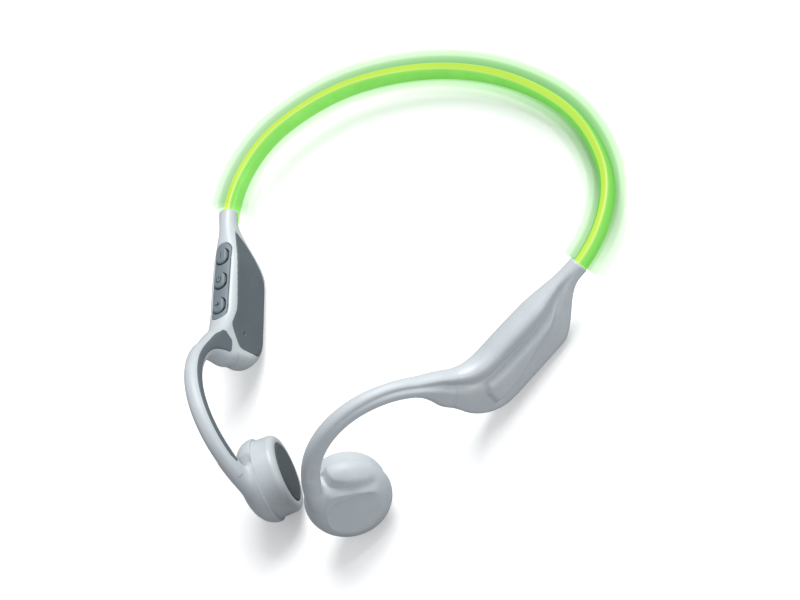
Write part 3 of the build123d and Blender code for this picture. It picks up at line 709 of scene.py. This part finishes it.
# ---- Neckband
def tube_along_band(rows, columns, half_width, half_height, power, past=BAND_INSERT):
    """Superellipse section carried along both halves of the band, to a distance past each neck's rim: the
    section's width lies across the band and its height stands up. Gives points in the worn frame, and the share
    of the width at which each one lies."""
    reach = BAND_LENGTH + past
    s = np.linspace(-reach, reach, rows)[:, None]
    x, y, angle = walk((0, 0), 0.0, BAND_RUNS, np.abs(s))
    way = np.where(s < 0, -1.0, 1.0)
    turn = np.linspace(0, 2 * pi, columns + 1)[None, :-1]
    c, d = np.cos(turn), np.sin(turn)
    out = half_width * np.sign(c) * np.abs(c) ** (2 / power)
    up = half_height * np.sign(d) * np.abs(d) ** (2 / power)
    points = np.stack([way * (x - out * np.sin(angle)), y + out * np.cos(angle), up + 0 * s], -1)
    return points, out / half_width + 0 * s


def build_band():
    points, share = tube_along_band(700, 48, GUIDE_WIDTH / 2 - 0.02, GUIDE_HEIGHT / 2 - 0.02, 3.2)
    make_piece("lit_light_guide", lay(points), GUIDE, marks={"across": np.abs(share)},
               stands_for=["light_guide"])


# ---- Arms
def patch(name, centre, outline, depth_at, material, slot, *, side, hole=0.0, round_by=0.3, proud=0.0, rings=70,
          stands_for=(), sink=0.55):
    """A plate that lies on the arm's inner face: rings from a centre to its outline, whose edge is rounded and
    turned down by sink. Where it has a hole, the rings start at the hole's wall."""
    k = np.linspace(0, 1, rings) ** 0.9
    angle = np.arctan2(outline[:, 1] - centre[1], outline[:, 0] - centre[0])
    start = np.stack([centre[0] + max(hole, 1e-4) * np.cos(angle), centre[1] + max(hole, 1e-4) * np.sin(angle)], -1)
    grid = start[None] + k[:, None, None] * (outline - start)[None]
    edge = np.maximum(-outline_distance(grid[..., 0], grid[..., 1], outline), 0)
    q = depth_at(grid[..., 0], grid[..., 1]) + proud - round_by * (1 - swell(edge, round_by, 2.0))
    if hole:
        from_hole = np.hypot(grid[..., 0] - centre[0], grid[..., 1] - centre[1]) - hole
        q = q - 0.2 * (1 - swell(from_hole, 0.25, 2.0))
    u, y = grid[..., 0], grid[..., 1]
    u = np.concatenate([u[:1], u, u[-1:]])
    y = np.concatenate([y[:1], y, y[-1:]])
    q = np.concatenate([q[:1] - (1.2 if hole else 0.01), q, q[-1:] - sink])
    points = rest(arm_place(u, y, q), side)
    return make_piece(name, points, material, stands_for=stands_for)


def build_cover(side):
    centre = MIC_PLACE if side == "right" else CONTACT_PLACE
    hole = MIC_HOLE if side == "right" else 0.0
    patch("inner_cover_skin_" + side, centre, COVER_OUTLINE, inner_face, SLATE, "slate_plastic", side=side, hole=hole,
          stands_for=["inner_cover_" + side], rings=90)


SEAL_SECTION = ((0.35, 0.40), (0.35, 0.62), (0.75, 0.62), (0.75, 0.40))    # inside the outline, below the face


def build_seal(side):
    """Thin rubber ring under the cover's rim: a rectangle carried round the cover's outline, a little inside it."""
    along = np.roll(COVER_OUTLINE, -1, 0) - np.roll(COVER_OUTLINE, 1, 0)
    along = along / np.linalg.norm(along, axis=1)[:, None]
    inward = np.stack([along[:, 1], -along[:, 0]], -1)
    ring = []
    for inset, depth in SEAL_SECTION:
        line = COVER_OUTLINE + inset * inward
        ring.append(arm_place(line[:, 0], line[:, 1], inner_face(line[:, 0], line[:, 1]) - depth))
    make_piece("cover_seal_ring_" + side, rest(np.stack(ring), side), HIDDEN["seal_rubber"],
               loop=True, stands_for=["cover_seal_" + side])


def inlay_edges(row):
    """Shares across at which the hook's inlay begins and ends: wide at the shoulder, a strip along the hook."""
    heel = np.clip((row - ROWS[0] - INLAY_START * ROWS[1]) / ((1 - INLAY_START) * ROWS[1]), 0, 1)
    hook = np.clip((row - ROWS[0] - ROWS[1]) / ROWS[2], 0, 1)
    narrow = ease(hook / 0.22)
    begin = 0.13 + 0.02 * heel + 0.13 * narrow
    finish = 0.52 + 0.28 * ease(heel * 1.1) - 0.08 * narrow
    return begin, finish


def build_inlay(side):
    """Slate strip let into the hook's inner side: rows along the arm, columns from its upper to its lower edge."""
    last = ROWS[0] + ROWS[1] + INLAY_END * ROWS[2]
    row = np.linspace(ROWS[0] + INLAY_START * ROWS[1], last, 260)[:, None]
    begin, finish = inlay_edges(row)
    t = np.linspace(-1, 1, 61)[None, :]
    ends = np.clip(np.minimum((row - row[0]) / 9.0, (row[-1] - row) / 14.0), 0.02, 1)
    pinch = 1 - 0.6 * (1 - np.sqrt(1 - (1 - ends) ** 2))
    middle = (begin + finish) / 2
    half = (finish - begin) / 2 * pinch
    across = middle + half * t
    rows = row + 0 * t
    height = np.interp(rows, ROW, HEIGHT)
    edge = np.minimum(half * height * (1 - np.abs(t)), np.minimum(rows - row[0], row[-1] - rows) * 0.22)
    q = skin(rows, across, 1) + INLAY_PROUD - INLAY_ROUND * (1 - swell(edge, INLAY_ROUND, 2.0))
    u, y = in_sheet(rows, across)
    top = arm_place(u, y, q)
    base = arm_place(u, y, q - INLAY_DEPTH)[:, ::-1]
    ring = np.concatenate([top, base], 1)
    make_piece("hook_inlay_skin_" + side, rest(ring, side), INLAY,
               stands_for=["hook_inlay_" + side])


def build_arm(side):
    shell = arm_skin(0, FOOT_ROW, side)
    make_piece("housing_skin_" + side, rest(shell, side), SHELL,
               stands_for=["housing_shell_" + side])
    hook_end = ROWS[0] + ROWS[1] + int(HOOK_SKIN_END * ROWS[2])
    hook = arm_skin(FOOT_ROW, hook_end, side)
    make_piece("earhook_skin_" + side, rest(hook, side), SILICONE,
               stands_for=["earhook_" + side])
    build_cover(side)
    build_seal(side)
    build_inlay(side)


# ---- Pods
def hook_line_in_pod():
    """The hook's centre line, from where it nears the pod to its end, in the pod's frame."""
    share = np.linspace(0.84, 0.985, 40)
    s, y, _ = walk(HOOK_START, HOOK_HEADING, HOOK_RUNS, share * HOOK_LENGTH)
    c, d = cos(radians(POD_TILT)), sin(radians(POD_TILT))
    up, inward = y + POD_DROP, -POD_INWARD
    return np.stack([s - POD_FORWARD, up * c + inward * d, inward * c - up * d], -1)


HOOK_LINE = hook_line_in_pod()
# seen along the pod's axis: the valley that carries on from the hook's lower edge, and the flat face's outline
CAP_VALLEY = ((0.2, 11.5), (0.3, 10.3), (-0.2, 8.7), (-1.5, 7.2), (-3.8, 5.1), (-6.0, 3.5), (-8.8, 1.4))
CAP_OVAL = rounded_outline(((3.4, 5.4), (-1.6, 3.4), (-7.6, 0.6), (-8.6, -4.2), (-3.6, -8.6), (4.4, -9.2),
                            (9.0, -5.6), (7.6, 1.8)), (2.6,) * 8)
CAP_SQUARENESS = 2.35
CAP_CROWN = 0.9                 # height that the dome would have above its flat top
CAP_SCALE = 8.5                 # turns the dome's relative distance into about millimetres
CAP_VALLEY_DEPTH = 1.15
CAP_VALLEY_WIDTH = 1.5
CAP_OVAL_DEPTH = 0.55
CAP_FILLET = 1.3                # between the dome and the hook
CAP_HEART = (4.4, 6.4, -3.3)    # point inside both the cap and the hook, from which the whole skin can be seen


def smooth_least(a, b, blend):
    """Least of two distances, with a fillet of about blend where they meet."""
    h = np.clip(0.5 + 0.5 * (b - a) / blend, 0, 1)
    return b + (a - b) * h - blend * h * (1 - h)


def smooth_most(a, b, blend):
    return -smooth_least(-a, -b, blend)


def cap_distance(p):
    """Rough distance to the pod's cap: a squarish dome with a flat top, a valley and a flat oval let into it,
    joined by a fillet to the hook."""
    radial = np.hypot(p[..., 0], p[..., 1])
    depth = -p[..., 2]
    power = CAP_SQUARENESS
    bowl = ((radial / POD_RADIUS) ** power + np.abs(depth / (POD_CAP_DEPTH + CAP_CROWN)) ** power) ** (1 / power)
    dome = (bowl - 1) * CAP_SCALE
    valley = np.full(radial.shape, 1e9)
    along = np.zeros(radial.shape)
    for number, ((ax, ay), (bx, by)) in enumerate(zip(CAP_VALLEY[:-1], CAP_VALLEY[1:])):
        ex, ey = bx - ax, by - ay
        t = np.clip(((p[..., 0] - ax) * ex + (p[..., 1] - ay) * ey) / (ex * ex + ey * ey), 0, 1)
        far = np.hypot(p[..., 0] - ax - t * ex, p[..., 1] - ay - t * ey)
        along = np.where(far < valley, (number + t) / (len(CAP_VALLEY) - 1), along)
        valley = np.minimum(valley, far)
    deep = CAP_VALLEY_DEPTH * (1 - 0.55 * ease((along - 0.55) / 0.45))
    dome = dome + deep * np.exp(-(valley / CAP_VALLEY_WIDTH) ** 2)
    near = (radial < POD_RADIUS) & (depth > 2)
    oval = np.full(radial.shape, 1.0)
    oval[near] = outline_distance(p[..., 0][near], p[..., 1][near], CAP_OVAL)
    dome = smooth_most(dome, depth - POD_CAP_DEPTH + CAP_OVAL_DEPTH * ease(-oval / 0.35), 0.08)
    best = np.full(radial.shape, 1e9)
    for a, b in zip(HOOK_LINE[:-1], HOOK_LINE[1:]):
        along = b - a
        t = np.clip(((p - a) @ along) / (along @ along), 0, 1)
        best = np.minimum(best, np.linalg.norm(p - a - t[..., None] * along, axis=-1))
    hook = best - (HOOK_SIZE / 2 + 0.03)
    joined = smooth_least(dome, hook, CAP_FILLET)
    return smooth_most(joined, -depth + 0.02, 0.35)


def build_cap(side):
    """Cap skin: along each direction from CAP_HEART, the place where cap_distance crosses zero, by halving."""
    polar = np.linspace(0.0, pi, 230)[:, None]
    round_ = np.linspace(0, 2 * pi, 301)[None, :-1]
    way = np.stack([np.sin(polar) * np.cos(round_), np.sin(polar) * np.sin(round_), np.cos(polar) + 0 * round_], -1)
    heart = np.array(CAP_HEART)
    near, far = np.zeros(way.shape[:2]), np.full(way.shape[:2], 27.0)
    for _ in range(26):
        half = (near + far) / 2
        outside = cap_distance(heart + way * half[..., None]) > 0
        near, far = np.where(outside, near, half), np.where(outside, half, far)
    p = heart + way * near[..., None]
    points = pod_place(p[..., 0], p[..., 1], p[..., 2])
    make_piece("pod_cap_skin_" + side, rest(points, side), SILICONE,
               stands_for=["pod_cap_" + side])


def turned(profile, columns=192):
    """A ring of points for each (radius, z) of a profile, about the pod's axis."""
    profile = np.array(profile)
    turn = np.linspace(0, 2 * pi, columns + 1)[None, :-1]
    radius, z = profile[:, :1], profile[:, 1:]
    return pod_place(radius * np.cos(turn), radius * np.sin(turn), z + 0 * turn)


def quarter(centre, radius, first, last, count=12):
    """Points on an arc in a profile, from first to last degrees."""
    a = np.radians(np.linspace(first, last, count))
    return [(centre[0] + radius * c, centre[1] + radius * s) for c, s in zip(np.cos(a), np.sin(a))]


SHOULDER_ROUND = 1.9
LIP_ROUND = 0.3


def build_barrel(side):
    """Drum between the cap and the skin: a small foot fillet, a slightly drawn-in wall, a rounded shoulder and a
    lip that turns down round the pad."""
    wall = [(BARREL_RADIUS + 0.10 - 0.10 * ease(k), -0.4 + k * 4.65) for k in np.linspace(0, 1, 16)]
    shoulder = quarter((BARREL_RADIUS - SHOULDER_ROUND, BARREL_DEPTH - SHOULDER_ROUND), SHOULDER_ROUND, 0, 90, 20)
    lip = quarter((PAD_RADIUS + 0.05 + LIP_ROUND, BARREL_DEPTH - LIP_ROUND), LIP_ROUND, 90, 180, 8)
    inside = [(PAD_RADIUS + 0.05, BARREL_DEPTH - 1.4)]
    foot = [(BARREL_RADIUS - 2.0, -0.4)]
    points = turned(foot + wall + shoulder + lip + inside)
    make_piece("pod_barrel_skin_" + side, rest(points, side), SHELL,
               stands_for=["pod_barrel_" + side])


def build_pad(side):
    """Skin pad: a shallow dome with a rounded rim and one fine ring let into it."""
    high = BARREL_DEPTH + PAD_PROUD
    radius = np.concatenate([np.linspace(0.02, PAD_RADIUS - 0.8, 60), PAD_RADIUS - 0.8 + 0.7 * np.linspace(0, 1, 24)])
    rim = swell(PAD_RADIUS - 0.1 - radius, 0.7, 2.0)
    ring = 0.12 * np.exp(-((radius - PAD_RADIUS + 1.5) / 0.16) ** 2)
    z = high - 0.25 * (radius / PAD_RADIUS) ** 2 - 0.6 * (1 - rim) - ring
    base = [(PAD_RADIUS - 0.1, high - 1.3), (0.02, high - 1.3)]
    points = turned(list(zip(radius, z)) + base)
    make_piece("skin_pad_" + side, rest(points, side), PAD,
               stands_for=["contact_pad_" + side])


# ---- Buttons and their panel, on the wearer's right
def slot_grid(length, width, along, across):
    """A grid over a slot shape: each line along it ends on the round end."""
    b = np.sin(np.linspace(-pi / 2, pi / 2, across))[None, :]
    a = np.linspace(-1, 1, along)[:, None]
    reach = (length - width) / 2 + width / 2 * np.sqrt(1 - b * b)
    return a * reach, width / 2 * b + 0 * a


def closed_lid(x, y, z, bottom, place):
    """A lid and its flat underside joined into rings, one for each line of the grid."""
    top = place(x, y, z)
    under = place(x, y, np.full(x.shape, bottom) if np.isscalar(bottom) else bottom)[:, ::-1]
    return np.concatenate([top, under], 1)


PANEL_ROUND = 0.3
PANEL_THICKNESS = 0.8
WELL_DEPTH = 1.7
SIGN_LENGTH = 1.9
SIGN_WIDTH = 0.34
SIGN_DEPTH = 0.14
KEY_ROUND = 0.62
KEY_CROWN = 0.10                # fall of each key's top from its middle to its rim
KEY_HEIGHT = 1.9


def build_panel():
    """Slate panel on the rounded top: it follows the housing and has a well round each button."""
    x, y = slot_grid(PANEL_LENGTH, PANEL_WIDTH, 420, 110)
    top = top_face(x + MIDDLE_BUTTON_FORWARD, y + BUTTON_INWARD)
    edge = -obround_distance(x, y, PANEL_LENGTH, PANEL_WIDTH)
    z = top + 0.02 - PANEL_ROUND * (1 - swell(np.maximum(edge, 0), PANEL_ROUND, 2.0))
    for number in (-1, 0, 1):
        well = obround_distance(x - number * BUTTON_PITCH, y, BUTTON_LENGTH + 2 * BUTTON_CLEARANCE,
                                BUTTON_WIDTH + 2 * BUTTON_CLEARANCE)
        z = z - WELL_DEPTH * ease(-well / 0.27 + 0.3)

    def place(a, b, c):
        return arm_place(a + MIDDLE_BUTTON_FORWARD, c, b + BUTTON_INWARD)

    points = closed_lid(x, y, z, z - PANEL_THICKNESS, place)
    make_piece("button_panel_skin", rest(points, "right"), PANEL, stands_for=["button_panel"])


def minus_sign(x, y):
    return obround_distance(x, y, SIGN_LENGTH, SIGN_WIDTH)


def plus_sign(x, y):
    return np.minimum(minus_sign(x, y), minus_sign(y, x))


def power_sign(x, y):
    """A ring open towards the neckband with a bar in the gap."""
    ring = np.abs(np.hypot(x, y) - 0.85) - 0.15
    gap = np.maximum(np.abs(y) - 0.42, x)
    return np.minimum(np.maximum(ring, -gap), obround_distance(x + 0.62, y, 1.05, 0.3))


def build_button(name, number, sign):
    """Rubber cap: a crowned pillow with a soft rim and its sign sunk into the top."""
    x, y = slot_grid(BUTTON_LENGTH, BUTTON_WIDTH, 130, 110)
    forward = MIDDLE_BUTTON_FORWARD + number * BUTTON_PITCH
    top = float(housing_top(np.array(forward))) + BUTTON_PROUD
    edge = np.maximum(-obround_distance(x, y, BUTTON_LENGTH, BUTTON_WIDTH), 0)
    sunk = ease(0.5 - sign(x, y) / 0.10)
    crowned = KEY_CROWN * (np.hypot(x / 2.6, y / 1.9) ** 2)
    z = top - KEY_ROUND * (1 - swell(edge, KEY_ROUND, 2.0)) - crowned - SIGN_DEPTH * sunk

    def place(a, b, c):
        return arm_place(a + forward, c, b + BUTTON_INWARD)

    points = closed_lid(x, y, z, top - KEY_HEIGHT, place)
    marks = np.concatenate([sunk, np.zeros_like(sunk)], 1)
    make_piece(name + "_cap", rest(points, "right"), KEYS, body=name,
               marks={"mark": marks}, stands_for=[name])


def build_contacts():
    """Two gold charging contacts: low domes with a turned rim, on the left cover."""
    for number in (-1, 1):
        u = CONTACT_PLACE[0] + number * CONTACT_PITCH / 2
        radius = np.concatenate([np.linspace(0.01, CONTACT_RADIUS * 0.8, 14), np.full(1, CONTACT_RADIUS)])
        lift = np.concatenate([0.12 - 0.06 * np.linspace(0, 1, 14) ** 2, [0.02]])
        turn = np.linspace(0, 2 * pi, 49)[None, :-1]
        x = u + radius[:, None] * np.cos(turn)
        y = CONTACT_PLACE[1] + radius[:, None] * np.sin(turn)
        q = inner_face(x, y) + lift[:, None]
        x = np.concatenate([x, x[-1:], x[:1]])
        y = np.concatenate([y, y[-1:], y[:1]])
        q = np.concatenate([q, q[-1:] - 0.6, q[:1] - 0.8])
        name = "charging_contact_" + ("rear" if number < 0 else "front")
        stands_for = ["charging_contacts"] if number < 0 else []
        make_piece(name, lay(arm_place(x, y, q)), GOLD, stands_for=stands_for)


def build_mic_floor():
    """Dark acoustic mesh at the bottom of the microphone's hole."""
    radius = np.array([0.02, 0.25, MIC_HOLE + 0.12, MIC_HOLE + 0.12, 0.02])[:, None]
    drop = np.array([0.0, 0.0, 0.0, 0.25, 0.25])[:, None]
    turn = np.linspace(0, 2 * pi, 33)[None, :-1]
    x = MIC_PLACE[0] + radius * np.cos(turn)
    y = MIC_PLACE[1] + radius * np.sin(turn)
    q = inner_face(x, y) - 0.75 - drop
    make_piece("microphone_mesh", rest(arm_place(x, y, q), "right"), HOLE,
               stands_for=["mic_mesh"])


# ---- Setting: floor, light, the painted glow round the lit band and the camera
def stage_mesh(name, points, faces, material):
    mesh = bpy.data.meshes.new(name)
    mesh.from_pydata(points, [], faces)
    mesh.materials.append(material)
    thing = bpy.data.objects.new(name, mesh)
    bpy.context.scene.collection.objects.link(thing)
    return thing


FLOOR_LIFT = 0.25


def build_floor():
    """Wide pale floor just under the headphones. It gives less light back than it shows, as a flagged studio
    table does."""
    material, tree = new_material("studio_floor")
    seen = add(tree, "ShaderNodeLightPath").outputs["Is Camera Ray"]
    pale = add(tree, "ShaderNodeBsdfDiffuse", [("Color", (0.98, 0.98, 0.98, 1))])
    flagged = add(tree, "ShaderNodeBsdfDiffuse", [("Color", (0.42, 0.43, 0.44, 1))])
    lift = add(tree, "ShaderNodeEmission", [("Color", (1.0, 1.0, 1.0, 1)), ("Strength", FLOOR_LIFT)])
    bright = add(tree, "ShaderNodeAddShader", [(0, pale.outputs[0]), (1, lift.outputs[0])])
    mix = add(tree, "ShaderNodeMixShader", [(0, seen), (1, flagged.outputs[0]), (2, bright.outputs[0])])
    add(tree, "ShaderNodeOutputMaterial", [("Surface", mix.outputs[0])])
    size, low = 3.0, -0.0002
    corners = [(-size, -size, low), (size, -size, low), (size, size, low), (-size, size, low)]
    stage_mesh("floor", corners, [(0, 1, 2, 3)], material)


GLOW_TUBES = ((3.6, 0.085), (5.4, 0.045), (7.6, 0.020))   # (radius in mm, density per mm)


def build_glow():
    """Painted glow round the lit band: three nested tubes that absorb red and blue, tinting what lies behind them
    green, so that the painted glow fades outwards.
    """
    for number, (radius, density) in enumerate(GLOW_TUBES):
        material, tree = new_material(f"glow_{number}")
        # painted glow: green-tinting absorption that stands in for the band's light spilling round it
        glow_tint = add(tree, "ShaderNodeVolumeAbsorption", [("Color", (0.11, 0.51, 0.0, 1)), ("Density", density / MM)])
        add(tree, "ShaderNodeOutputMaterial", [("Volume", glow_tint.outputs[0])])
        points, _ = tube_along_band(220, 28, radius, radius, 2.0, past=0.0)
        rows, columns = points.shape[:2]
        flat = lay(points).reshape(-1, 3)
        faces = [tuple(face) for face in grid_faces(rows, columns).tolist()]
        faces += [tuple(range(columns))[::-1], tuple(range((rows - 1) * columns, rows * columns))]
        tube = stage_mesh(f"glow_{number}", flat.tolist(), faces, material)
        tube.visible_shadow = False


def softbox(name, place, aim, size, power, colour=(1.0, 1.0, 1.0)):
    data = bpy.data.lights.new(name, "AREA")
    data.shape = "RECTANGLE"
    data.size, data.size_y = size
    data.energy = power
    data.color = colour
    lamp = bpy.data.objects.new(name, data)
    bpy.context.scene.collection.objects.link(lamp)
    lamp.location = place
    lamp.rotation_mode = "QUATERNION"
    lamp.rotation_quaternion = (Vector(aim) - Vector(place)).to_track_quat("-Z", "Y")
    lamp.visible_camera = False
    return lamp


WORLD_LEVEL = 0.36


def build_world():
    """White surround: the camera sees plain white, and the headphones get a dim even light from it."""
    world = bpy.data.worlds.new("studio")
    bpy.context.scene.world = world
    world.use_nodes = True
    tree = world.node_tree
    tree.nodes.clear()
    seen = add(tree, "ShaderNodeLightPath").outputs["Is Camera Ray"]
    dim = add(tree, "ShaderNodeBackground", [("Color", (0.93, 0.97, 1.0, 1)), ("Strength", WORLD_LEVEL)])
    white = add(tree, "ShaderNodeBackground", [("Color", (1, 1, 1, 1)), ("Strength", 1.0)])
    mix = add(tree, "ShaderNodeMixShader", [(0, seen), (1, dim.outputs[0]), (2, white.outputs[0])])
    add(tree, "ShaderNodeOutputWorld", [("Surface", mix.outputs[0])])


CAMERA_AIM = (0.00689, -0.00101, 0.0100)
CAMERA_AZIMUTH = 73.96
CAMERA_ELEVATION = 44.684
CAMERA_ROLL = 58.787
CAMERA_DISTANCE = 1.18097
CAMERA_LENS = 191.87


def build_camera():
    """Long lens from the side and above, rolled so that the neckband is at the top."""
    data = bpy.data.cameras.new("camera")
    data.lens = CAMERA_LENS
    data.sensor_width = 36.0
    data.clip_end = 20.0
    camera = bpy.data.objects.new("camera", data)
    bpy.context.scene.collection.objects.link(camera)
    a, e, roll = radians(CAMERA_AZIMUTH), radians(CAMERA_ELEVATION), radians(CAMERA_ROLL)
    back = Vector((sin(a) * cos(e), -cos(a) * cos(e), sin(e)))
    level = (-back).cross(Vector((0, 0, 1))).normalized()
    upright = level.cross(-back)
    right = level * cos(roll) - upright * sin(roll)
    up = upright * cos(roll) + level * sin(roll)
    place = Vector(CAMERA_AIM) + back * CAMERA_DISTANCE
    camera.matrix_world = Matrix((
        (right.x, up.x, back.x, place.x),
        (right.y, up.y, back.y, place.y),
        (right.z, up.z, back.z, place.z),
        (0, 0, 0, 1),
    ))
    bpy.context.scene.camera = camera


# ---- Assembly
for node, thing in NODES.items():
    thing.data.materials.clear()
    thing.data.materials.append(HIDDEN[SLOT_OF[node]])

build_band()
for side in ("left", "right"):
    build_arm(side)
    build_cap(side)
    build_barrel(side)
    build_pad(side)
build_panel()
for name, number, sign in (("button_minus", -1, minus_sign), ("button_power", 0, power_sign),
                           ("button_plus", 1, plus_sign)):
    build_button(name, number, sign)
build_contacts()
build_mic_floor()

build_floor()
build_glow()
build_world()
softbox("key", (0.15, 0.95, 1.1), (0, 0, 0), (1.1, 0.9), 23.0)
softbox("fill", (1.2, 0.1, 0.5), (0, 0, 0), (0.5, 0.5), 5.0)
build_camera()
bpy.context.scene.view_settings.view_transform = "Standard"
